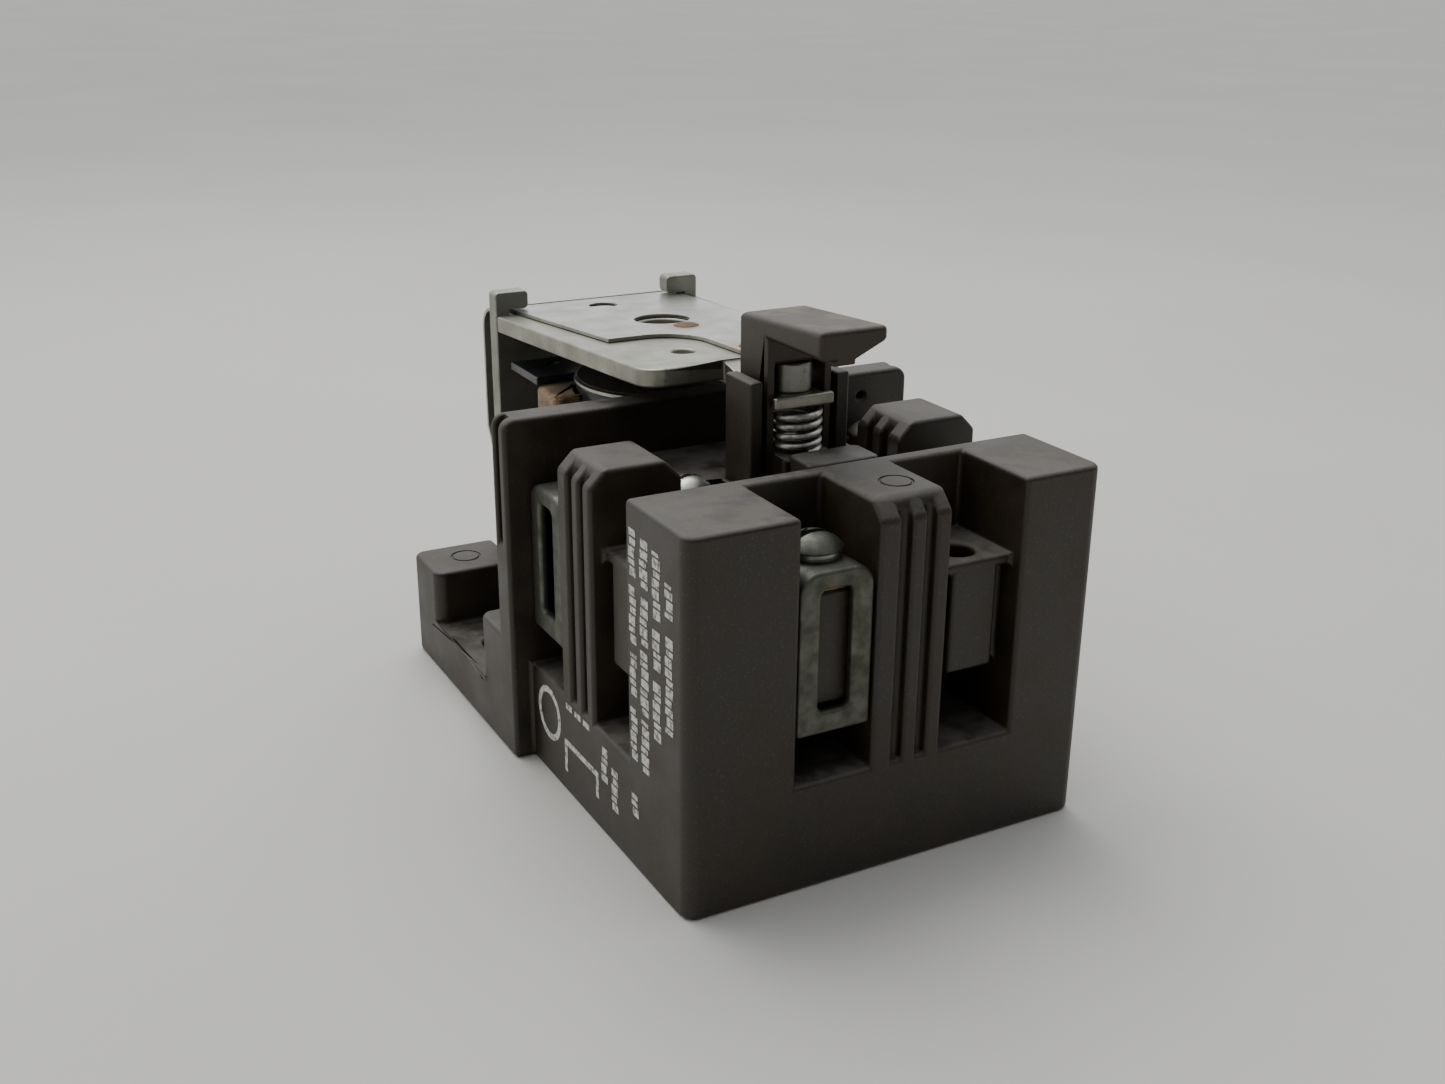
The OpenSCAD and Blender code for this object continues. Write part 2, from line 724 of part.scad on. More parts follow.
// Spring-steel leaf that lies over the armature; its cut-out leaves an arm
module armature_leaf() {
    back = leaf_end - hinge_y;
    step = 64 - hinge_y;
    arm_x = [0.5, 7.2];
    bend_r = 7.5;
    color(steel) placed() opened() translate([0, 0, armature_t + leaf_gap]) difference() {
        linear_extrude(leaf_t) difference() {
            polygon([[-16.2, back], [16.2, back], [16, step - 6], [arm_x[1], 52 - hinge_y],
                [arm_x[1], 43.6 - hinge_y], [arm_x[0], 43.6 - hinge_y],
                [arm_x[0] - bend_r, step - 10], [arm_x[0] - bend_r, step], [-12.7, step]]);
            translate([arm_x[0] - bend_r, step - bend_r]) circle(r = bend_r, $fn = 64);
            translate([arm_x[0] - 2 * bend_r, step - 30]) square([2 * bend_r, 30 - bend_r]);
        }
        for (p = [leaf_hole, rear_hole])
            translate([p[0], p[1] - hinge_y, -over]) cylinder(r = p[2], h = 4, $fn = 64);
        leaf_rivet_holes(1.25);
    }
}

module armature_rivets() {
    height = armature_t + leaf_gap + leaf_t;
    color(copper) placed() opened() for (p = leaf_rivets) translate([p[0], p[1] - hinge_y, 0]) {
        cylinder(r = 1.2, h = height, $fn = 32);
        translate([0, 0, height]) pan_head_plain(2.2, 0.5);
    }
}

module lifting_stud() {
    color(steel) placed() translate([0, stud_y, arm_top]) {
        cylinder(r = stud_r, h = stud_h, $fn = 64);
        translate([0, 0, -arm_t]) cylinder(r = 1.45, h = arm_t + eps, $fn = 32);
    }
}

module residual_shim() {
    color(brass) placed() opened() translate([0, 0, -0.3]) difference() {
        translate([0, coil_y - hinge_y, 0]) cylinder(r = 8, h = 0.3, $fn = 64);
        translate([leaf_hole[0], leaf_hole[1] - hinge_y, -over]) cylinder(r = 4.1, h = 3, $fn = 64);
    }
}

// ---- carrier and bridging contact --------------------------------------------------------

module contact_carrier() {
    hx = carrier_hx;
    color(phenolic) placed() difference() {
        union() {
            // two cheeks and the block that joins them above the arm
            on_both_sides()
                span([cheek_in, carrier_y[0], bar_z], [hx, carrier_y[1], carrier_block_z + eps]);
            span([-hx, carrier_y[0], carrier_block_z], [hx, carrier_y[1], beam_under]);
            side_profile(-hx, hx, [[beam_front, beam_under], [carrier_y[1], beam_under],
                [carrier_y[1], beam_top_back], [beam_front, beam_top_front]]);
            // nib under the front end of the beam
            span([-hx + 2, beam_front, beam_under - 0.8], [hx - 4.5, beam_front + 3, beam_under + eps]);
            // back web above the arm
            span([-hx, 33.6, 62], [hx, carrier_y[1], carrier_block_z + eps]);
            // seat of the link spring, and the bar under the bridging contact
            span([-cheek_in - eps, seat_front, seat_z[0]], [cheek_in + eps, carrier_y[1], seat_z[1]]);
            span([-hx, carrier_y[0], bar_z], [hx, carrier_y[1], bridge_z]);
        }
        span([-hx - over, bridge_y - bridge_hy - 0.2, bridge_z],
             [hx + over, bridge_y + bridge_hy + 0.2, window_top]);
        // slanting underside of the beam on its right
        front_profile(beam_front - over, carrier_y[0] - 0.5, [[hx - 4.8, beam_under - over],
            [hx - 4.8, beam_under], [hx + eps, beam_under + 2.2], [hx + over, beam_under + 2.2],
            [hx + over, beam_under - over]]);
    }
}

module contact_bridge() {
    color(copper) placed()
        span([-bridge_hx, bridge_y - bridge_hy, bridge_z], [bridge_hx, bridge_y + bridge_hy, bridge_z + bridge_t]);
}

module moving_contact_tips() {
    color(silver) placed() for (x = [-tip_x, tip_x])
        translate([x, bridge_y, bridge_z - tip_t]) cylinder(r = tip_r, h = tip_t, $fn = 48);
}

module bridge_clip() {
    z = bridge_z + bridge_t;
    color(zinc) placed() {
        span([-3.8, bridge_y - bridge_hy, z], [3.8, bridge_y + bridge_hy, z + 0.6]);
        translate([0, bridge_y, z + 0.6 - eps]) cylinder(r = 1.3, h = 1.5, $fn = 32);
    }
}

module contact_spring() {
    color(steel) placed() translate([0, bridge_y, 0])
        wire_coil(1.9, 0.6, bridge_z + bridge_t + 0.62, seat_z[0] - 0.02, 7);
}

module link_spring() {
    color(zinc) placed() translate([0, 28.5, 0]) rotate([0, 0, -90])
        wire_coil(spring_d / 2 - spring_wire / 2, spring_wire, seat_z[1] + 0.02,
                  arm_top - arm_t - 0.02, 4.75);
}

// ---- fixed contacts and terminal plates -----------------------------------------------------

// Terminal plate in its local frame: a pad on the tongue with a tail inward to y_end
module plate_pad(y_end) {
    difference() {
        union() {
            span([-5, tongue_front + 0.2, tongue_h], [5, cavity_d - 0.2, plate_top]);
            span([-2, cavity_d - over, tongue_h], [2, y_end, plate_top]);
        }
        translate([0, screw_depth, tongue_h - over])
            cylinder(r = screw_r + 0.05, h = 4, $fn = 48);
    }
}

module contact_strip() {
    leg_x = -8.8;
    color(copper) placed() {
        at_left_cavity(far_cavity) plate_pad(half_block + leg_x);
        span([leg_x - plate_t, 43.95, foot_top - plate_t], [leg_x, 47.95, plate_top]);
        span([-10.9, bridge_y - 2.1, foot_top - plate_t], [-7, 47.95, foot_top]);
    }
}

module contact_strip_left() {
    contact_strip();
}

module contact_strip_right() {
    mirror([1, 0, 0]) contact_strip();
}

module fixed_contact_tips() {
    color(silver) placed() for (x = [-tip_x, tip_x])
        translate([x, bridge_y, foot_top]) cylinder(r = tip_r, h = tip_t, $fn = 48);
}

module terminal_plate_front() {
    color(brass) placed() at_front_cavity(front_left_cavity) plate_pad(22);
}

module terminal_plate_right() {
    color(brass) placed() at_right_cavity(near_cavity) plate_pad(21);
}

// ---- saddle clamps and their captive screws ---------------------------------------------------

// Window of a clamp seen from outside, with rounded corners
module clamp_window() {
    r = 1;
    hx = clamp_w / 2 - clamp_bar;
    z = [clamp_bottom + clamp_bar, clamp_top - clamp_flange_t - 0.4];
    translate([-hx + r, z[0]]) square([2 * (hx - r), z[1] - z[0]]);
    translate([-hx, z[0] + r]) square([2 * hx, z[1] - z[0] - 2 * r]);
    for (x = [-hx + r, hx - r], y = [z[0] + r, z[1] - r])
        translate([x, y]) circle(r = r, $fn = 32);
}

// Outline of a clamp seen from outside: a tall frame with rounded top corners
module clamp_outline(z0) {
    r = 3;
    hx = clamp_w / 2;
    translate([-hx, z0]) square([clamp_w, clamp_top - z0 - r]);
    translate([-hx + r, z0]) square([clamp_w - 2 * r, clamp_top - z0]);
    for (s = [-1, 1]) translate([s * (hx - r), clamp_top - r]) circle(r = r, $fn = 48);
}

module clamp() {
    skirt_y = clamp_front_y + clamp_skirt_t;
    hx = clamp_w / 2;
    color(zinc) difference() {
        union() {
            translate([0, skirt_y, 0]) rotate([90, 0, 0])
                linear_extrude(clamp_skirt_t) clamp_outline(clamp_bottom);
            intersection() {
                translate([0, clamp_front_y + clamp_flange_d, 0]) rotate([90, 0, 0])
                    linear_extrude(clamp_flange_d) clamp_outline(clamp_bottom);
                span([-hx, 0, clamp_top - clamp_flange_t], [hx, 20, clamp_top]);
            }
        }
        translate([0, skirt_y + eps, 0]) rotate([90, 0, 0])
            linear_extrude(clamp_skirt_t + over) clamp_window();
        translate([0, screw_depth, clamp_top - 4]) cylinder(r = screw_r + 0.05, h = 6, $fn = 48);
    }
}

module clamp_screw() {
    z = clamp_top + washer_t + head_gap;
    color(zinc) translate([0, screw_depth, 0]) {
        translate([0, 0, z]) pan_head(head_r, head_h, 1.1);
        translate([0, 0, tongue_bottom + 4]) cylinder(r = screw_r, h = z - tongue_bottom - 4 + eps, $fn = 48);
    }
}

module clamp_washer() {
    color(steel) translate([0, screw_depth, clamp_top]) difference() {
        cylinder(r = head_r - 0.3, h = washer_t, $fn = 48);
        translate([0, 0, -over]) cylinder(r = screw_r + 0.02, h = 4, $fn = 48);
    }
}

module clamp_front() {
    placed() at_front_cavity(front_left_cavity) clamp();
}

module clamp_left() {
    placed() at_left_cavity(far_cavity) clamp();
}

module clamp_right_front() {
    placed() at_right_cavity(near_cavity) clamp();
}

module clamp_right_rear() {
    placed() at_right_cavity(far_cavity) clamp();
}

module clamp_screw_front() {
    placed() at_front_cavity(front_left_cavity) clamp_screw();
}

module clamp_screw_left() {
    placed() at_left_cavity(far_cavity) clamp_screw();
}

module clamp_screw_right_front() {
    placed() at_right_cavity(near_cavity) clamp_screw();
}

module clamp_screw_right_rear() {
    placed() at_right_cavity(far_cavity) clamp_screw();
}

module clamp_washer_front() {
    placed() at_front_cavity(front_left_cavity) clamp_washer();
}

module clamp_washer_left() {
    placed() at_left_cavity(far_cavity) clamp_washer();
}

module clamp_washer_right_front() {
    placed() at_right_cavity(near_cavity) clamp_washer();
}

module clamp_washer_right_rear() {
    placed() at_right_cavity(far_cavity) clamp_washer();
}

base_moulding();
bottom_insulator();
bottom_screws();
arc_cover();
arc_cover_screws();
yoke_frame();
yoke_screws();
core();
shading_ring();
bobbin();
coil_winding();
coil_wrap();
coil_lead_pads();
coil_leads();
coil_top_plate();
coil_paper_washer();
hinge_spring();
hinge_spring_rivets();
contact_strip_left();
contact_strip_right();
fixed_contact_tips();
terminal_plate_front();
terminal_plate_right();
armature_plate();
armature_leaf();
armature_rivets();
lifting_stud();
residual_shim();
contact_carrier();
contact_bridge();
moving_contact_tips();
bridge_clip();
contact_spring();
link_spring();
clamp_front();
clamp_left();
clamp_right_front();
clamp_right_rear();
clamp_screw_front();
clamp_screw_left();
clamp_screw_right_front();
clamp_screw_right_rear();
clamp_washer_front();
clamp_washer_left();
clamp_washer_right_front();
clamp_washer_right_rear();
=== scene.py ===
"""Looks of an open-frame industrial control relay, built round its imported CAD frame.

The sections follow the relay as it is put together: moulded base, magnet, armature,
contacts, carrier, and the terminals last. Sizes are in metres in the shared frame.
"""

import json
import math

import bmesh
import bpy
from mathutils import Matrix, Vector

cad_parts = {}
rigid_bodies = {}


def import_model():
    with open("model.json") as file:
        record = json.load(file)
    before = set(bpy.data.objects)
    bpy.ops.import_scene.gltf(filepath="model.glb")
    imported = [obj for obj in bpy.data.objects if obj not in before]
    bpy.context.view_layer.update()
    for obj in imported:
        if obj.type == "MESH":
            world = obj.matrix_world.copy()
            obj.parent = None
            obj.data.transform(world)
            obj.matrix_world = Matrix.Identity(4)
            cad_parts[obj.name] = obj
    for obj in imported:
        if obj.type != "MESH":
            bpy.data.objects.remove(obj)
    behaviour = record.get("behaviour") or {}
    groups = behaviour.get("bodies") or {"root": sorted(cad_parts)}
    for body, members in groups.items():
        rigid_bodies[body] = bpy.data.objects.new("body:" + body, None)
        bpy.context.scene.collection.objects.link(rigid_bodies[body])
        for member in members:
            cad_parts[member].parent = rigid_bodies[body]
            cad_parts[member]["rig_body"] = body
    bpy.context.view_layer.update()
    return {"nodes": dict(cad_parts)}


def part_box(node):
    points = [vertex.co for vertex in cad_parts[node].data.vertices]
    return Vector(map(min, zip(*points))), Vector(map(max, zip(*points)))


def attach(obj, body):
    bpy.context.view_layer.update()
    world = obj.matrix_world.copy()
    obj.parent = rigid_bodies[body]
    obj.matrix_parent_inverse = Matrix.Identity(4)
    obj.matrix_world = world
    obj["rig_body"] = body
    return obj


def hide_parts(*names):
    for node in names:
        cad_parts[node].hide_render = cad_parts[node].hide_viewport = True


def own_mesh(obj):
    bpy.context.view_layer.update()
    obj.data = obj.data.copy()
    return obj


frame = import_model()
MM = 0.001

# ---- Moulded base ------------------------------------------------------------
# One compression moulding in brown phenolic, pressed and then tumbled, so every
# edge is slightly round. Dust lies on what faces up, rubbed off in blotches.

front_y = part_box("base_moulding")[0].y


def linear(hex_colour):
    """An sRGB hex colour as the linear colour that a shader takes."""
    channels = []
    for i in (1, 3, 5):
        c = int(hex_colour[i : i + 2], 16) / 255
        channels.append(c / 12.92 if c <= 0.04045 else ((c + 0.055) / 1.055) ** 2.4)
    return (*channels, 1.0)


def add(tree, kind, inputs, out=0, **settings):
    """Adds a node with its settings and links, and gives back one of its outputs. An
    input is a number, an sRGB hex colour or another node's output."""
    made = tree.nodes.new("ShaderNode" + kind)
    for name, value in settings.items():
        setattr(made, name, value)
    for socket, value in inputs.items():
        if isinstance(value, bpy.types.NodeSocket):
            tree.links.new(value, made.inputs[socket])
        else:
            made.inputs[socket].default_value = linear(value) if isinstance(value, str) else value
    return made.outputs[out] if made.outputs else None


def new_finish(name):
    """A material with an empty node tree, and the place on the object that it is read at."""
    material = bpy.data.materials.new(name)
    material.use_nodes = True
    material.node_tree.nodes.clear()
    return material, material.node_tree, add(material.node_tree, "TexCoord", {}, "Object")


def phenolic(name, deep, light, dust):
    """Wood-flour filled phenolic: semi-matt brown with soft clouds, fine flecks of filler
    about 0.3 mm across, and grey dust in 3 mm blotches on what faces up."""
    material, tree, place = new_finish(name)
    cloud = add(tree, "TexNoise", {"Vector": place, "Scale": 1 / (7 * MM), "Detail": 3.0})
    cloud = add(tree, "MapRange", {"Value": cloud, "From Min": 0.35, "From Max": 0.65})
    brown = add(tree, "Mix", {0: cloud, 6: deep, 7: light}, 2, data_type="RGBA")
    fleck = add(tree, "TexNoise", {"Vector": place, "Scale": 1 / (0.3 * MM), "Detail": 1.0})
    filler = {"Value": fleck, "From Min": 0.62, "From Max": 0.72, "To Max": 0.3}
    fleck_share = add(tree, "MapRange", filler)
    flecked = add(tree, "Mix", {0: fleck_share, 6: brown, 7: "#5a5044"}, 2, data_type="RGBA")
    normal = add(tree, "NewGeometry", {}, "Normal")
    upward = add(tree, "SeparateXYZ", {0: normal}, "Z")
    settled = {"Value": upward, "From Min": 0.5, "From Max": 0.95, "To Max": dust}
    upward = add(tree, "MapRange", settled)
    rubbed = {"Vector": place, "Scale": 1 / (5 * MM), "Detail": 6.0, "Roughness": 0.65}
    blotch = add(tree, "TexNoise", rubbed)
    left_on = {"Value": blotch, "From Min": 0.40, "From Max": 0.56, "To Min": 0.25}
    blotch = add(tree, "MapRange", left_on)
    lying = add(tree, "Math", {0: upward, 1: blotch}, operation="MULTIPLY")
    dusty = add(tree, "Mix", {0: lying, 6: flecked, 7: "#8d8982"}, 2, data_type="RGBA")
    gloss = add(tree, "MapRange", {"Value": cloud, "To Min": 0.42, "To Max": 0.54})
    dulled = add(tree, "Math", {0: gloss, 1: lying}, operation="ADD")
    bump = add(tree, "Bump", {"Height": fleck, "Distance": 0.02 * MM, "Strength": 0.6})
    skin = {"Base Color": dusty, "Roughness": dulled, "Normal": bump, "IOR": 1.55}
    add(tree, "OutputMaterial", {0: add(tree, "BsdfPrincipled", skin)})
    return material


def softened_copy(node, name, edge, segments=3, edge_from=25):
    """A CAD node with its faces made whole and its edges rounded by edge metres.
    Where a narrow step leaves no room, the rounding is smaller."""
    room_share = 0.4
    crosswise = 0.87
    too_fine = 0.08
    bm = bmesh.new()
    bm.from_mesh(frame["nodes"][node].data)
    bmesh.ops.remove_doubles(bm, verts=bm.verts, dist=0.002 * MM)
    bmesh.ops.dissolve_limit(bm, angle_limit=math.radians(0.3), verts=bm.verts, edges=bm.edges)
    weight = bm.edges.layers.float.new("bevel_weight_edge")
    for e in bm.edges:
        if len(e.link_faces) != 2 or e.calc_face_angle(0) < math.radians(edge_from):
            continue
        along = (e.verts[1].co - e.verts[0].co).normalized()
        room = edge / room_share
        for other in [o for v in e.verts for o in v.link_edges if o is not e]:
            way = (other.verts[1].co - other.verts[0].co).normalized()
            if abs(way.dot(along)) < crosswise:
                room = min(room, other.calc_length())
        e[weight] = room_share * room / edge
        e.smooth = e[weight] > too_fine
    return piece_from(bm, name, edge, segments)


def piece_from(bm, name, edge=None, segments=3):
    """Turns mesh work into a smooth-shaded object, with rounded edges if edge is given."""
    mesh = bpy.data.meshes.new(name)
    for f in bm.faces:
        f.smooth = True
    bm.to_mesh(mesh)
    bm.free()
    made = bpy.data.objects.new(name, mesh)
    bpy.context.collection.objects.link(made)
    if edge:
        rounding = made.modifiers.new("rounded edges", "BEVEL")
        rounding.limit_method = "WEIGHT"
        rounding.width = edge
        rounding.segments = segments
        rounding.use_clamp_overlap = False
        made.modifiers.new("flat faces stay flat", "WEIGHTED_NORMAL").keep_sharp = True
    return made


def install(piece, material, *nodes):
    """Gives a piece its finish, and puts it in place of these CAD nodes on their body."""
    piece.data.materials.clear()
    piece.data.materials.append(material)
    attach(piece, frame["nodes"][nodes[0]]["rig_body"])
    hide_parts(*nodes)
    return piece


brown_phenolic = phenolic("compression-moulded phenolic", "#21190f", "#2c2316", 0.34)
moulded_base = softened_copy("base_moulding", "moulded_base", 0.7 * MM)
install(moulded_base, brown_phenolic, "base_moulding")

# ---- Printed connection diagram ------------------------------------------------
# White ink stamped on the left side: a generic coil and contact symbol on the sill,
# and plain bars where a real one has its ratings. The ink stands a hair proud.

ink_film = 0.04 * MM
left_face = -32 * MM
bar_columns = (
    (4.7, 1.1, ((25.5, 39.5), (41.5, 46.0))),
    (8.2, 1.15, ((23.0, 31.5), (33.0, 38.5), (40.0, 49.0))),
    (11.8, 1.2, ((16.5, 24.0), (25.0, 34.0), (35.0, 41.5), (43.0, 49.5))),
    (15.2, 1.05, ((8.2, 11.5), (17.0, 24.5), (26.5, 32.5), (34.0, 42.0), (43.5, 50.0))),
)


def ink_patch(bm, y0, y1, z0, z1):
    """A thin box of ink on the left face; y runs back from the front face, in millimetres."""
    cube = bmesh.ops.create_cube(bm, size=1.0)["verts"]
    size = Matrix.Diagonal((2 * ink_film, (y1 - y0) * MM, (z1 - z0) * MM, 1.0))
    middle = Vector((left_face, front_y + (y0 + y1) / 2 * MM, (z0 + z1) / 2 * MM))
    bmesh.ops.transform(bm, verts=cube, matrix=Matrix.Translation(middle) @ size)


def stamped_ink():
    """White epoxy ink, stamped: matt, and thin in spots under a millimetre across."""
    material, tree, place = new_finish("stamped white ink")
    thin = add(tree, "TexNoise", {"Vector": place, "Scale": 1 / (0.8 * MM), "Detail": 4.0})
    thin = add(tree, "MapRange", {"Value": thin, "From Min": 0.46, "From Max": 0.66})
    white = add(tree, "Mix", {0: thin, 6: "#cfcec6", 7: "#6f6a60"}, 2, data_type="RGBA")
    skin = {"Base Color": white, "Roughness": 0.6}
    add(tree, "OutputMaterial", {0: add(tree, "BsdfPrincipled", skin)})
    return material


def ink_dashes(bm, column, half, runs):
    """A column of short strokes of uneven length, in place of a printed line."""
    for low, high in runs:
        z, step = low, 0
        while z < high - 0.4:
            length = 1.05 + 0.35 * math.sin(2.4 * step + column)
            lean = 0.45 * math.sin(1.7 * step + 2 * column)
            near, far = column - half + max(lean, 0), column + half + min(lean, 0)
            ink_patch(bm, near, far, z, min(z + length, high))
            z += length + 0.32
            step += 1


bars = bmesh.new()
for column, half, runs in bar_columns:
    ink_dashes(bars, column, half, runs)
for column, half, runs in ((25.2, 1.05, ((8.5, 14.2),)), (21.8, 1.05, ((5.5, 12.2),))):
    ink_dashes(bars, column, half, runs)
ink_bars = piece_from(bars, "printed_bars")

symbol = bmesh.new()
ring_middle = Vector((left_face, front_y + 45.3 * MM, 10.3 * MM))
turns = 64
rings = []
for i in range(turns):
    a = 2 * math.pi * i / turns
    out = Vector((0, math.cos(a), math.sin(a)))
    corners = [(-ink_film, 3.3), (-ink_film, 4.3), (ink_film, 4.3), (ink_film, 3.3)]
    spots = [ring_middle + out * r * MM + Vector((x, 0, 0)) for x, r in corners]
    rings.append([symbol.verts.new(spot) for spot in spots])
for i in range(turns):
    here, there = rings[i], rings[(i + 1) % turns]
    for k in range(4):
        symbol.faces.new((here[k], there[k], there[(k + 1) % 4], here[(k + 1) % 4]))
for dash in ((36.6, 38.7), (33.4, 35.6), (30.3, 32.5)):
    ink_patch(symbol, dash[0], dash[1], 14.1, 15.0)
ink_patch(symbol, 38.7, 39.6, 3.4, 8.8)
ink_patch(symbol, 28.3, 38.7, 7.9, 8.8)
ink_patch(symbol, 27.4, 28.3, 4.6, 8.8)
bmesh.ops.recalc_face_normals(symbol, faces=symbol.faces)
ink_symbol = piece_from(symbol, "printed_symbol")

white_ink = stamped_ink()
for print_piece in (ink_bars, ink_symbol):
    for polygon in print_piece.data.polygons:
        polygon.use_smooth = False
    print_piece.data.materials.append(white_ink)
    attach(print_piece, "base")

# ---- Bottom insulator --------------------------------------------------------
# A punched sheet of vulcanised fibre that closes the underside of the contact
# chamber, held by two drive pins. It is dark brown, matt and slightly hairy.


def vulcanised_fibre():
    """Vulcanised fibre, sheared from sheet: dark brown, matt, with 0.5 mm hairs in the plane."""
    material, tree, place = new_finish("vulcanised fibre")
    drawn = add(tree, "VectorMath", {0: place, 1: (1.0, 0.25, 1.0)}, operation="MULTIPLY")
    hair = add(tree, "TexNoise", {"Vector": drawn, "Scale": 1 / (0.5 * MM), "Detail": 4.0})
    share = add(tree, "MapRange", {"Value": hair, "From Min": 0.35, "From Max": 0.65})
    brown = add(tree, "Mix", {0: share, 6: "#241a15", 7: "#3a2b23"}, 2, data_type="RGBA")
    bump = add(tree, "Bump", {"Height": hair, "Distance": 0.03 * MM, "Strength": 0.7})
    skin = {"Base Color": brown, "Roughness": 0.75, "Normal": bump}
    add(tree, "OutputMaterial", {0: add(tree, "BsdfPrincipled", skin)})
    return material


def zinc_plate(name, light, dark, rough):
    """Zinc plate on steel, gone dull: metal in soft 2 mm patches over 0.25 mm pitting,
    with a little brown grime in the pits."""
    material, tree, place = new_finish(name)
    patch = add(tree, "TexNoise", {"Vector": place, "Scale": 1 / (2 * MM), "Detail": 3.0})
    patch = add(tree, "MapRange", {"Value": patch, "From Min": 0.3, "From Max": 0.7})
    pits = add(tree, "TexNoise", {"Vector": place, "Scale": 1 / (0.25 * MM), "Detail": 3.0})
    grime = add(tree, "MapRange", {"Value": pits, "From Min": 0.55, "From Max": 0.72, "To Max": 0.4})
    grey = add(tree, "Mix", {0: patch, 6: dark, 7: light}, 2, data_type="RGBA")
    worn = add(tree, "Mix", {0: grime, 6: grey, 7: "#3c3830"}, 2, data_type="RGBA")
    gloss = add(tree, "MapRange", {"Value": patch, "To Min": rough + 0.10, "To Max": rough})
    bump = add(tree, "Bump", {"Height": pits, "Distance": 0.015 * MM, "Strength": 0.6})
    skin = {"Base Color": worn, "Roughness": gloss, "Metallic": 1.0, "Normal": bump}
    add(tree, "OutputMaterial", {0: add(tree, "BsdfPrincipled", skin)})
    return material


fibre = vulcanised_fibre()
dull_zinc = zinc_plate("dull zinc plate", "#bdbeb6", "#989990", 0.34)
bottom_plate = softened_copy("bottom_insulator", "fibre_bottom_plate", 0.12 * MM)
install(bottom_plate, fibre, "bottom_insulator")
install(softened_copy("bottom_screws", "bottom_drive_pins", 0.15 * MM), dull_zinc, "bottom_screws")

# ---- Yoke ----------------------------------------------------------------------
# Mild steel strip, blanked and bent to an L, with two hooked ears that keep the
# armature in place. The faces keep the rolling grain, and damp has left stains.


def rolled_steel(name, light, dark, rough, rust_at=()):
    """Bare rolled steel: metal with a rolling grain 0.35 mm wide along y, faint 6 mm
    stains, fine brown specks, and an orange bloom round each rivet that has wept."""
    material, tree, place = new_finish(name)
    drawn = add(tree, "VectorMath", {0: place, 1: (1.0, 0.06, 1.0)}, operation="MULTIPLY")
    line = add(tree, "TexNoise", {"Vector": drawn, "Scale": 1 / (0.35 * MM), "Detail": 3.0})
    grain = {"Value": line, "From Min": 0.4, "From Max": 0.7, "To Max": 0.22}
    line_share = add(tree, "MapRange", grain)
    cloud = add(tree, "TexNoise", {"Vector": place, "Scale": 1 / (6 * MM), "Detail": 2.0})
    cloud = add(tree, "MapRange", {"Value": cloud, "From Min": 0.25, "From Max": 0.75})
    grey = add(tree, "Mix", {0: cloud, 6: light, 7: dark}, 2, data_type="RGBA")
    lined = add(tree, "Mix", {0: line_share, 6: grey, 7: dark}, 2, data_type="RGBA")
    speck = add(tree, "TexNoise", {"Vector": place, "Scale": 1 / (0.8 * MM), "Detail": 6.0})
    spots = {"Value": speck, "From Min": 0.60, "From Max": 0.72, "To Max": 0.4}
    speck = add(tree, "MapRange", spots)
    colour = add(tree, "Mix", {0: speck, 6: lined, 7: "#5d5546"}, 2, data_type="RGBA")
    for spot in rust_at:
        flat = add(tree, "VectorMath", {0: place, 1: (1, 1, 0)}, operation="MULTIPLY")
        away = add(tree, "VectorMath", {0: flat, 1: spot}, "Value", operation="DISTANCE")
        ragged = add(tree, "TexNoise", {"Vector": place, "Scale": 1 / (2 * MM), "Detail": 5.0})
        reach = add(tree, "Math", {0: ragged, 1: 5 * MM, 2: away}, operation="MULTIPLY_ADD")
        fall = {"Value": reach, "From Min": 7.5 * MM, "From Max": 4 * MM, "To Max": 0.6}
        bloom = add(tree, "MapRange", fall)
        colour = add(tree, "Mix", {0: bloom, 6: colour, 7: "#a5763f"}, 2, data_type="RGBA")
    gloss = add(tree, "MapRange", {"Value": cloud, "To Min": rough, "To Max": rough + 0.10})
    bump = add(tree, "Bump", {"Height": line, "Distance": 0.01 * MM, "Strength": 0.4})
    skin = {"Base Color": colour, "Roughness": gloss, "Metallic": 1.0, "Normal": bump}
    add(tree, "OutputMaterial", {0: add(tree, "BsdfPrincipled", skin)})
    return material


yoke_steel = rolled_steel("blanked yoke steel", "#a2a29a", "#85857d", 0.42)
install(softened_copy("yoke_frame", "bent_yoke", 0.3 * MM), yoke_steel, "yoke_frame")
install(softened_copy("yoke_screws", "yoke_screws_pan_head", 0.18 * MM), dull_zinc, "yoke_screws")

# ---- Core and shading ring -------------------------------------------------------
# A turned iron core riveted into the yoke, with a pole face ground flat and a
# copper ring pressed into its groove so that the magnet does not chatter.


def tarnished(name, light, dark, rough):
    """A rolled copper alloy that has browned: metal in 1.5 mm patches with a fine grit."""
    material, tree, place = new_finish(name)
    patch = add(tree, "TexNoise", {"Vector": place, "Scale": 1 / (1.5 * MM), "Detail": 5.0})
    patch = add(tree, "MapRange", {"Value": patch, "From Min": 0.36, "From Max": 0.66})
    colour = add(tree, "Mix", {0: patch, 6: light, 7: dark}, 2, data_type="RGBA")
    gloss = add(tree, "MapRange", {"Value": patch, "To Min": rough, "To Max": rough + 0.2})
    grit = add(tree, "TexNoise", {"Vector": place, "Scale": 1 / (0.2 * MM), "Detail": 3.0})
    bump = add(tree, "Bump", {"Height": grit, "Distance": 0.01 * MM, "Strength": 0.5})
    skin = {"Base Color": colour, "Roughness": gloss, "Metallic": 1.0, "Normal": bump}
    add(tree, "OutputMaterial", {0: add(tree, "BsdfPrincipled", skin)})
    return material


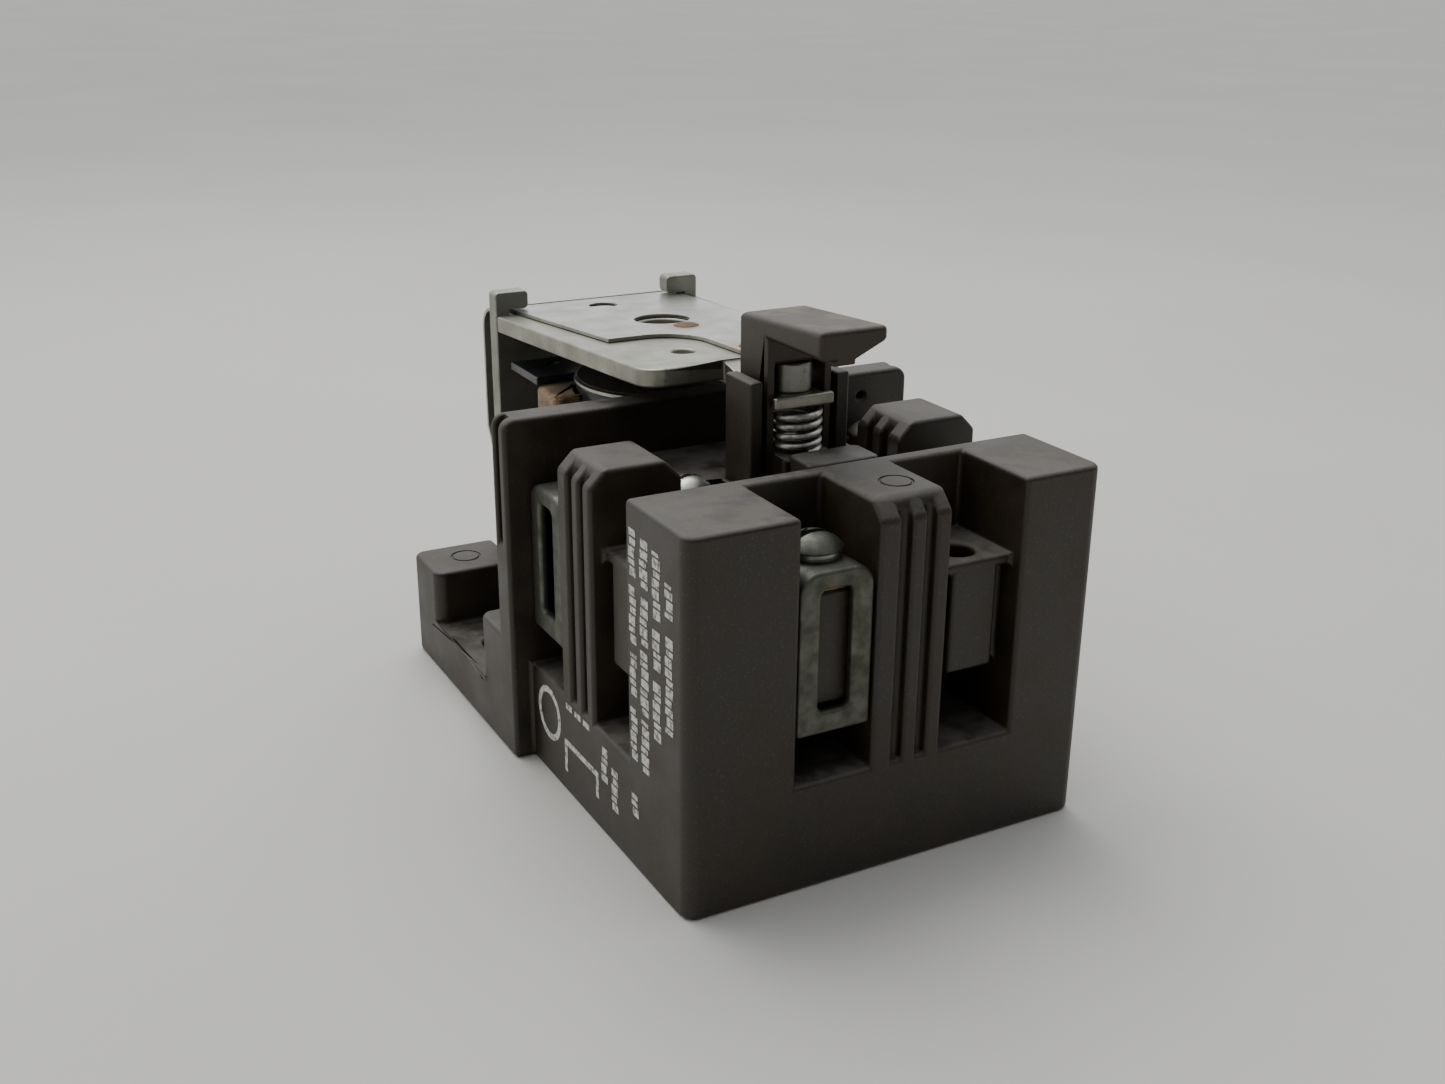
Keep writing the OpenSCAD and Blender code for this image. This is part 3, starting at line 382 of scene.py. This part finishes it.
def ground_iron():
    """Soft iron, turned and ground: bare metal with fine rings round the core's own axis,
    drawn 0.3 mm apart so that they show."""
    material, tree, place = new_finish("ground pole iron")
    middle = (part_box("core")[0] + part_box("core")[1]) / 2
    centred = add(tree, "VectorMath", {0: place, 1: middle}, operation="SUBTRACT")
    wave = {"Vector": centred, "Scale": 0.314 / (0.3 * MM), "Distortion": 0.4}
    ring = add(tree, "TexWave", wave, "Fac", wave_type="RINGS", rings_direction="Z")
    colour = add(tree, "Mix", {0: ring, 6: "#7f7d76", 7: "#a2a099"}, 2, data_type="RGBA")
    gloss = add(tree, "MapRange", {"Value": ring, "To Min": 0.28, "To Max": 0.42})
    bump = add(tree, "Bump", {"Height": ring, "Distance": 0.006 * MM, "Strength": 0.5})
    skin = {"Base Color": colour, "Roughness": gloss, "Metallic": 1.0, "Normal": bump}
    add(tree, "OutputMaterial", {0: add(tree, "BsdfPrincipled", skin)})
    return material


browned_copper = tarnished("browned copper", "#b8734f", "#6e4531", 0.32)
install(softened_copy("core", "ground_core", 0.2 * MM), ground_iron(), "core")
ring_in_pole = softened_copy("shading_ring", "copper_shading_ring", 0.12 * MM)
install(ring_in_pole, browned_copper, "shading_ring")

# ---- Bobbin ----------------------------------------------------------------------
# A black glass-filled nylon spool. Its top flange runs back in a wide tongue that
# carries the ends of the coil.


def black_nylon():
    """Glass-filled nylon, injection moulded: black, satin, with faint flow streaks."""
    material, tree, place = new_finish("glass-filled black nylon")
    drawn = add(tree, "VectorMath", {0: place, 1: (0.3, 1.0, 1.0)}, operation="MULTIPLY")
    streak = add(tree, "TexNoise", {"Vector": drawn, "Scale": 1 / (1.2 * MM), "Detail": 3.0})
    share = add(tree, "MapRange", {"Value": streak, "From Min": 0.35, "From Max": 0.65})
    colour = add(tree, "Mix", {0: share, 6: "#15161a", 7: "#22242a"}, 2, data_type="RGBA")
    gloss = add(tree, "MapRange", {"Value": share, "To Min": 0.28, "To Max": 0.42})
    grit = add(tree, "TexNoise", {"Vector": place, "Scale": 1 / (0.2 * MM), "Detail": 2.0})
    bump = add(tree, "Bump", {"Height": grit, "Distance": 0.01 * MM, "Strength": 0.5})
    skin = {"Base Color": colour, "Roughness": gloss, "Normal": bump, "IOR": 1.53}
    add(tree, "OutputMaterial", {0: add(tree, "BsdfPrincipled", skin)})
    return material


install(softened_copy("bobbin", "coil_bobbin", 0.25 * MM), black_nylon(), "bobbin")

# ---- Winding and its tape ------------------------------------------------------
# Enamelled copper wire in level layers, then a spiral of black tape whose edge
# steps over the turn below, and pads of cotton tape over the two wire joints.

coil_low, coil_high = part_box("coil_wrap")
coil_middle = (coil_low + coil_high) / 2
wrap_r = (coil_high.x - coil_low.x) / 2


def turned_shell(name, middle, outer, inner, z0, z1, around, along):
    """A closed ring about z whose outer radius is outer(angle, z) and bore is inner(angle, z)."""
    bm = bmesh.new()
    heights = [z0 + (z1 - z0) * j / along for j in range(along + 1)]
    loop = [(outer, z) for z in heights] + [(inner, z) for z in reversed(heights)]
    columns = []
    for i in range(around):
        a = 2 * math.pi * i / around
        way = Vector((math.cos(a), math.sin(a), 0))
        origin = Vector((middle.x, middle.y, 0))
        columns.append([bm.verts.new(origin + way * r(a, z) + Vector((0, 0, z))) for r, z in loop])
    for i in range(around):
        here, there = columns[i], columns[(i + 1) % around]
        for k in range(len(loop)):
            n = (k + 1) % len(loop)
            bm.faces.new((here[k], there[k], there[n], here[n]))
    bmesh.ops.recalc_face_normals(bm, faces=bm.faces)
    made = piece_from(bm, name)
    made.data.set_sharp_from_angle(angle=math.radians(50))
    return made


def enamelled_wire():
    """Enamelled copper wire: orange metal under a clear varnish."""
    material, tree, place = new_finish("enamelled copper wire")
    shade = add(tree, "TexNoise", {"Vector": place, "Scale": 1 / (2 * MM), "Detail": 3.0})
    colour = add(tree, "Mix", {0: shade, 6: "#8a4729", 7: "#c07446"}, 2, data_type="RGBA")
    skin = {"Base Color": colour, "Roughness": 0.3, "Metallic": 0.8, "Coat Weight": 0.6}
    add(tree, "OutputMaterial", {0: add(tree, "BsdfPrincipled", skin)})
    return material


def wrap_tape():
    """Black polyester tape, wound on: smooth and creased, grey where the light rakes it."""
    material, tree, place = new_finish("black polyester tape")
    drawn = add(tree, "VectorMath", {0: place, 1: (1.0, 1.0, 2.0)}, operation="MULTIPLY")
    crease = add(tree, "TexNoise", {"Vector": drawn, "Scale": 1 / (3.5 * MM), "Detail": 4.0})
    share = add(tree, "MapRange", {"Value": crease, "From Min": 0.35, "From Max": 0.65})
    colour = add(tree, "Mix", {0: share, 6: "#17181c", 7: "#26282d"}, 2, data_type="RGBA")
    gloss = add(tree, "MapRange", {"Value": share, "To Min": 0.3, "To Max": 0.5})
    bump = add(tree, "Bump", {"Height": crease, "Distance": 0.08 * MM, "Strength": 0.5})
    skin = {"Base Color": colour, "Roughness": gloss, "Normal": bump, "IOR": 1.58}
    add(tree, "OutputMaterial", {0: add(tree, "BsdfPrincipled", skin)})
    return material


wire_pitch = 0.6 * MM
tape_thickness = 0.55 * MM
layer_r = wrap_r - 0.62 * MM
bobbin_tube_r = 6.86 * MM
layers = turned_shell(
    "coil_layers", coil_middle,
    lambda a, z: layer_r - 0.1 * MM * abs(math.cos(math.pi * (z - coil_low.z) / wire_pitch)),
    lambda a, z: bobbin_tube_r, coil_low.z, coil_high.z, 64, 100)
install(layers, enamelled_wire(), "coil_winding")

tape_pitch = 8 * MM
tape = turned_shell(
    "spiral_tape", coil_middle,
    lambda a, z: wrap_r - 0.3 * MM * (((z - coil_low.z) / tape_pitch - a / (2 * math.pi)) % 1.0),
    lambda a, z: wrap_r - tape_thickness, coil_low.z, coil_high.z, 96, 90)
install(tape, wrap_tape(), "coil_wrap")


def cotton_tape():
    """Varnished cotton tape, woven and folded: tan threads 0.5 mm apart with painted shade in
    the hollows between them, and darker where varnish has soaked in."""
    material, tree, place = new_finish("varnished cotton tape")
    thread = {"Vector": place, "Scale": 0.314 / (0.5 * MM), "Distortion": 1.0}
    warp = add(tree, "TexWave", thread, "Fac", bands_direction="Y")
    weft = add(tree, "TexWave", thread, "Fac", bands_direction="Z")
    weave = add(tree, "Math", {0: warp, 1: weft}, operation="MULTIPLY")
    soak = add(tree, "TexNoise", {"Vector": place, "Scale": 1 / (3 * MM), "Detail": 3.0})
    soak = add(tree, "MapRange", {"Value": soak, "From Min": 0.4, "From Max": 0.62})
    tan = add(tree, "Mix", {0: soak, 6: "#a58a62", 7: "#6d5335"}, 2, data_type="RGBA")
    # Painted shade: the hollows between the threads are darkened toward dark brown.
    weave_hollow_shade = add(tree, "MapRange", {"Value": weave, "To Min": 0.4, "To Max": 0.0})
    shaded = add(tree, "Mix", {0: weave_hollow_shade, 6: tan, 7: "#4c3722"}, 2, data_type="RGBA")
    bump = add(tree, "Bump", {"Height": weave, "Distance": 0.08 * MM, "Strength": 0.8})
    skin = {"Base Color": shaded, "Roughness": 0.7, "Sheen Weight": 0.15, "Normal": bump}
    add(tree, "OutputMaterial", {0: add(tree, "BsdfPrincipled", skin)})
    return material


pads = softened_copy("coil_lead_pads", "cotton_joint_pads", 0.9 * MM, 4)
install(pads, cotton_tape(), "coil_lead_pads")


def braided_sleeve():
    """Varnished glass sleeving: black, with a braid of about 0.4 mm."""
    material, tree, place = new_finish("braided black sleeving")
    braid = add(tree, "TexVoronoi", {"Vector": place, "Scale": 1 / (0.4 * MM)})
    colour = add(tree, "Mix", {0: braid, 6: "#26262a", 7: "#121215"}, 2, data_type="RGBA")
    bump = add(tree, "Bump", {"Height": braid, "Distance": 0.08 * MM, "Strength": 0.8})
    skin = {"Base Color": colour, "Roughness": 0.6, "Normal": bump}
    add(tree, "OutputMaterial", {0: add(tree, "BsdfPrincipled", skin)})
    return material


leads = softened_copy("coil_leads", "sleeved_coil_leads", 0.15 * MM)
install(leads, braided_sleeve(), "coil_leads")
install(softened_copy("coil_top_plate", "coil_keeper_disc", 0.15 * MM), dull_zinc, "coil_top_plate")
keeper_washer = softened_copy("coil_paper_washer", "fibre_keeper_washer", 0.1 * MM)
install(keeper_washer, fibre, "coil_paper_washer")

# ---- Hinge spring ----------------------------------------------------------------
# Hard spring-steel strip riveted to the back of the yoke. It bows outward and
# bends over the hinge, to press the armature's tail on the yoke's edge.

spring_steel = rolled_steel("hard spring steel", "#bdbdb6", "#9c9c93", 0.34)
bowed_spring = softened_copy("hinge_spring", "bowed_hinge_spring", 0.12 * MM, 2)
install(bowed_spring, spring_steel, "hinge_spring")
install(softened_copy("hinge_spring_rivets", "hinge_spring_rivet_heads", 0.15 * MM), yoke_steel,
        "hinge_spring_rivets")

# ---- Armature ----------------------------------------------------------------------
# A thick blanked plate that hinges on the yoke, narrowing to an arm that works the
# carrier. The leaf over it is the same hard strip as the hinge spring.

rivet_low, rivet_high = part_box("armature_rivets")
head_r = 2.2 * MM
rear_rivet = Vector((rivet_low.x + head_r, rivet_high.y - head_r, 0))
front_rivet = Vector((rivet_high.x - head_r, rivet_low.y + head_r, 0))
armature_steel = rolled_steel("blanked armature steel", "#aeada0", "#8b8a7e", 0.40)
leaf_steel = rolled_steel("hard leaf steel", "#bdbdb6", "#9c9c93", 0.30, (rear_rivet, front_rivet))
plate = softened_copy("armature_plate", "blanked_armature", 0.4 * MM)
install(plate, armature_steel, "armature_plate")
leaf = softened_copy("armature_leaf", "armature_leaf_spring", 0.08 * MM, 2)
install(leaf, leaf_steel, "armature_leaf")
install(softened_copy("lifting_stud", "turned_lifting_stud", 0.3 * MM), yoke_steel, "lifting_stud")
old_brass = tarnished("dull brass", "#b79a5b", "#7d6638", 0.36)
shim = softened_copy("residual_shim", "brass_residual_shim", 0.05 * MM)
install(shim, old_brass, "residual_shim")


def rusted_rivet():
    """A steel rivet gone rusty: dark brown scale, half a millimetre coarse, over grey metal."""
    material, tree, place = new_finish("rusted rivet steel")
    scale = add(tree, "TexNoise", {"Vector": place, "Scale": 1 / (0.5 * MM), "Detail": 5.0})
    scale = add(tree, "MapRange", {"Value": scale, "From Min": 0.38, "From Max": 0.62})
    colour = add(tree, "Mix", {0: scale, 6: "#4a382c", 7: "#75604c"}, 2, data_type="RGBA")
    gloss = add(tree, "MapRange", {"Value": scale, "To Min": 0.45, "To Max": 0.7})
    bump = add(tree, "Bump", {"Height": scale, "Distance": 0.04 * MM, "Strength": 0.7})
    skin = {"Base Color": colour, "Roughness": gloss, "Metallic": 0.6, "Normal": bump}
    add(tree, "OutputMaterial", {0: add(tree, "BsdfPrincipled", skin)})
    return material


rivet_heads = softened_copy("armature_rivets", "armature_rivet_heads", 0.15 * MM)
install(rivet_heads, rusted_rivet(), "armature_rivets")

# ---- Fixed contacts --------------------------------------------------------------
# Copper strips stepped down into the contact chamber, each with a silver tip
# brazed on under the bridge, and brass plates for the two coil terminals.

for side in ("left", "right"):
    strip = softened_copy("contact_strip_" + side, "stepped_contact_strip_" + side, 0.12 * MM, 2)
    install(strip, browned_copper, "contact_strip_" + side)
for place_name in ("front", "right"):
    node = "terminal_plate_" + place_name
    install(softened_copy(node, "coil_" + node, 0.12 * MM, 2), old_brass, node)


def silver_alloy():
    """Silver alloy tip, pressed and brazed: pale metal, sooted and pitted by the arc."""
    material, tree, place = new_finish("arced silver alloy")
    soot = add(tree, "TexNoise", {"Vector": place, "Scale": 1 / (0.8 * MM), "Detail": 5.0})
    soot = add(tree, "MapRange", {"Value": soot, "From Min": 0.45, "From Max": 0.62})
    colour = add(tree, "Mix", {0: soot, 6: "#cfcdc6", 7: "#77736b"}, 2, data_type="RGBA")
    gloss = add(tree, "MapRange", {"Value": soot, "To Min": 0.25, "To Max": 0.6})
    pits = add(tree, "TexNoise", {"Vector": place, "Scale": 1 / (0.3 * MM), "Detail": 4.0})
    bump = add(tree, "Bump", {"Height": pits, "Distance": 0.03 * MM, "Strength": 0.7})
    skin = {"Base Color": colour, "Roughness": gloss, "Metallic": 1.0, "Normal": bump}
    add(tree, "OutputMaterial", {0: add(tree, "BsdfPrincipled", skin)})
    return material


arced_silver = silver_alloy()
fixed_tips = softened_copy("fixed_contact_tips", "fixed_silver_tips", 0.25 * MM)
install(fixed_tips, arced_silver, "fixed_contact_tips")

# ---- Carrier and bridging contact ------------------------------------------------
# A phenolic carrier slides between two pillars. The armature's arm passes through
# it, a spring under the arm draws it down, and a copper bridge sits in its window.

carrier_phenolic = phenolic("fine moulded phenolic", "#2b2117", "#362b1e", 0.60)
carrier = softened_copy("contact_carrier", "moulded_carrier", 0.8 * MM, 4)
install(carrier, carrier_phenolic, "contact_carrier")
bridge = softened_copy("contact_bridge", "copper_contact_bridge", 0.15 * MM)
install(bridge, browned_copper, "contact_bridge")
moving_tips = softened_copy("moving_contact_tips", "moving_silver_tips", 0.25 * MM)
install(moving_tips, arced_silver, "moving_contact_tips")
install(softened_copy("bridge_clip", "bridge_spring_seat", 0.1 * MM), dull_zinc, "bridge_clip")


def wound_spring(name, node, wire, turns_in_it, dead=0.9, sides=12, steps=28):
    """A compression spring in its CAD node's box: closed end turns, with ground ends."""
    low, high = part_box(node)
    middle = (low + high) / 2
    radius = (high.x - low.x) / 2 - wire / 2
    bottom, top, close = low.z + wire * 0.3, high.z - wire * 0.3, wire * 1.02
    bm = bmesh.new()
    rings = []
    for i in range(int(turns_in_it * steps) + 1):
        t = i / steps
        a = 2 * math.pi * t - math.pi / 2
        rise = bottom + close * min(t, dead)
        if t > dead:
            free = top - bottom - 2 * close * dead
            rise += free * (min(t, turns_in_it - dead) - dead) / (turns_in_it - 2 * dead)
        rise += close * max(t - (turns_in_it - dead), 0)
        ring = []
        for k in range(sides):
            b = 2 * math.pi * k / sides
            r = radius + wire / 2 * math.cos(b)
            z = min(max(rise + wire / 2 * math.sin(b), low.z), high.z)
            ring.append(bm.verts.new((middle.x + r * math.cos(a), middle.y + r * math.sin(a), z)))
        rings.append(ring)
    for here, there in zip(rings, rings[1:]):
        for k in range(sides):
            n = (k + 1) % sides
            bm.faces.new((here[k], there[k], there[n], here[n]))
    bm.faces.new(rings[0])
    bm.faces.new(list(reversed(rings[-1])))
    bmesh.ops.recalc_face_normals(bm, faces=bm.faces)
    made = piece_from(bm, name)
    made.data.set_sharp_from_angle(angle=math.radians(50))
    return made


def drawn_wire():
    """Spring wire, hard drawn: pale metal, satin, in darker warm-grey patches about 0.8 mm across.
    """
    material, tree, place = new_finish("drawn spring wire")
    wear = add(tree, "TexNoise", {"Vector": place, "Scale": 1 / (0.8 * MM), "Detail": 4.0})
    wear = add(tree, "MapRange", {"Value": wear, "From Min": 0.42, "From Max": 0.70})
    colour = add(tree, "Mix", {0: wear, 6: "#cfcec8", 7: "#a29e94"}, 2, data_type="RGBA")
    gloss = add(tree, "MapRange", {"Value": wear, "To Min": 0.36, "To Max": 0.5})
    skin = {"Base Color": colour, "Roughness": gloss, "Metallic": 1.0}
    add(tree, "OutputMaterial", {0: add(tree, "BsdfPrincipled", skin)})
    return material


bright_wire = drawn_wire()
bridge_spring = wound_spring("bridge_pressure_spring", "contact_spring", 0.6 * MM, 7)
install(bridge_spring, bright_wire, "contact_spring")
arm_spring = wound_spring("arm_link_spring", "link_spring", 1.0 * MM, 4.75)
install(arm_spring, bright_wire, "link_spring")
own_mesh(arm_spring)

# ---- Arc cover ---------------------------------------------------------------------
# A moulded lid over the contact chamber, with the two pillars that guide the
# carrier, held by two slotted pan-head screws.

install(softened_copy("arc_cover", "moulded_arc_cover", 0.4 * MM), brown_phenolic, "arc_cover")
cover_screws = softened_copy("arc_cover_screws", "arc_cover_pan_screws", 0.2 * MM)
install(cover_screws, dull_zinc, "arc_cover_screws")

# ---- Terminals ----------------------------------------------------------------------
# Each terminal has a pressed saddle clamp with a window, a washer, and a slotted
# pan-head screw that lifts the clamp as it is loosened. All are zinc plated.

# The clamps and screws take a darker copy of the zinc than the washers. It is partly duller plating
# and partly painted shade, because they sit deep in shadow.
dull_and_shaded_zinc = zinc_plate("dull and shade-darkened zinc plate", "#6f7067", "#54554d", 0.48)
thread_pitch = 0.7 * MM
thread_depth = 0.22 * MM
thread_r = 1.94 * MM
hollow_r = 0.25 * MM


def thread_radius(r):
    """Radius of a V thread of the full radius r, at an angle and a height."""
    def at(a, z):
        phase = (z / thread_pitch - a / (2 * math.pi)) % 1.0
        return r - thread_depth * 2 * abs(phase - 0.5)
    return at


def terminal_screw(name, node):
    """The CAD screw's head with softened edges, over a shank cut with a real thread."""
    low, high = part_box(node)
    middle = (low + high) / 2
    head_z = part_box(node.replace("clamp_screw", "clamp_washer"))[1].z
    head = softened_copy(node, name, 0.25 * MM)
    bm = bmesh.new()
    bm.from_mesh(head.data)
    everything = bm.verts[:] + bm.edges[:] + bm.faces[:]
    cut = bmesh.ops.bisect_plane(bm, geom=everything, plane_co=(0, 0, head_z),
                                 plane_no=(0, 0, 1), clear_inner=True)
    rim = [g for g in cut["geom_cut"] if isinstance(g, bmesh.types.BMEdge)]
    bmesh.ops.holes_fill(bm, edges=rim)
    bm.to_mesh(head.data)
    bm.free()
    shank = turned_shell(name + "_thread", middle, thread_radius(thread_r),
                         lambda a, z: hollow_r, low.z, head_z + 0.3 * MM, 32, 110)
    return head, shank


for where in ("front", "left", "right_front", "right_rear"):
    clamp = softened_copy("clamp_" + where, "saddle_clamp_" + where, 0.55 * MM, 4)
    install(clamp, dull_and_shaded_zinc, "clamp_" + where)
    washer = softened_copy("clamp_washer_" + where, "flat_washer_" + where, 0.15 * MM, 2)
    install(washer, dull_zinc, "clamp_washer_" + where)
    head, shank = terminal_screw("terminal_screw_" + where, "clamp_screw_" + where)
    install(head, dull_and_shaded_zinc, "clamp_screw_" + where)
    shank.data.materials.append(dull_and_shaded_zinc)
    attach(shank, "screw_" + where + "_body")

# ---- Studio ---------------------------------------------------------------------------
# A plain pale floor under a soft sky that is bright behind and above and dim in
# front, one large lamp over the back left, and the camera low at the near corner.


def pale_floor():
    """Board, painted: pale and matt, with the faintest cloudiness."""
    material, tree, place = new_finish("pale painted board")
    cloud = add(tree, "TexNoise", {"Vector": place, "Scale": 1 / 0.15, "Detail": 4.0})
    colour = add(tree, "Mix", {0: cloud, 6: "#c6c4bc", 7: "#d5d3cd"}, 2, data_type="RGBA")
    skin = {"Base Color": colour, "Roughness": 0.8}
    add(tree, "OutputMaterial", {0: add(tree, "BsdfPrincipled", skin)})
    return material


ground = bmesh.new()
bmesh.ops.create_grid(ground, x_segments=8, y_segments=8, size=12.0)
floor = piece_from(ground, "studio_floor")
floor.location.z = -0.05 * MM
floor.data.materials.append(pale_floor())

world = bpy.data.worlds.new("soft studio")
bpy.context.scene.world = world
world.use_nodes = True
sky = world.node_tree
sky.nodes.clear()
toward = add(sky, "TexCoord", {}, "Generated")
bright_side = (0.05, 0.86, 0.50)
facing = add(sky, "VectorMath", {0: toward, 1: bright_side}, "Value", operation="DOT_PRODUCT")
level = add(sky, "MapRange", {"Value": facing, "From Min": -0.5, "From Max": 0.9, "To Min": 0.08})
pale = add(sky, "Mix", {0: level, 6: "#000000", 7: "#eceef2"}, 2, data_type="RGBA")
add(sky, "OutputWorld", {0: add(sky, "Background", {"Color": pale, "Strength": 1.5})})

lamp_data = bpy.data.lights.new("overhead softbox", "AREA")
lamp_data.shape = "RECTANGLE"
lamp_data.size = 0.5
lamp_data.size_y = 0.4
lamp_data.energy = 2.3
lamp = bpy.data.objects.new("overhead softbox", lamp_data)
bpy.context.collection.objects.link(lamp)
lamp.location = (-0.04, 0.26, 0.58)
lamp.rotation_mode = "QUATERNION"
lamp.rotation_quaternion = (lamp.location - Vector((0, 0, 0.03))).to_track_quat("Z", "Y")

camera_data = bpy.data.cameras.new("camera")
camera_data.lens = 39.19
camera_data.sensor_width = 36.0
camera_data.clip_start = 0.01
camera_data.clip_end = 100.0
camera = bpy.data.objects.new("camera", camera_data)
bpy.context.collection.objects.link(camera)
camera.location = (-0.11114, -0.20632, 0.11912)
sight = Vector((0.44661, 0.82141, -0.35471))
level_turn = sight.to_track_quat("-Z", "Y")
roll = Matrix.Rotation(math.radians(0.47), 4, "Z").to_quaternion()
camera.rotation_mode = "QUATERNION"
camera.rotation_quaternion = level_turn @ roll
bpy.context.scene.camera = camera
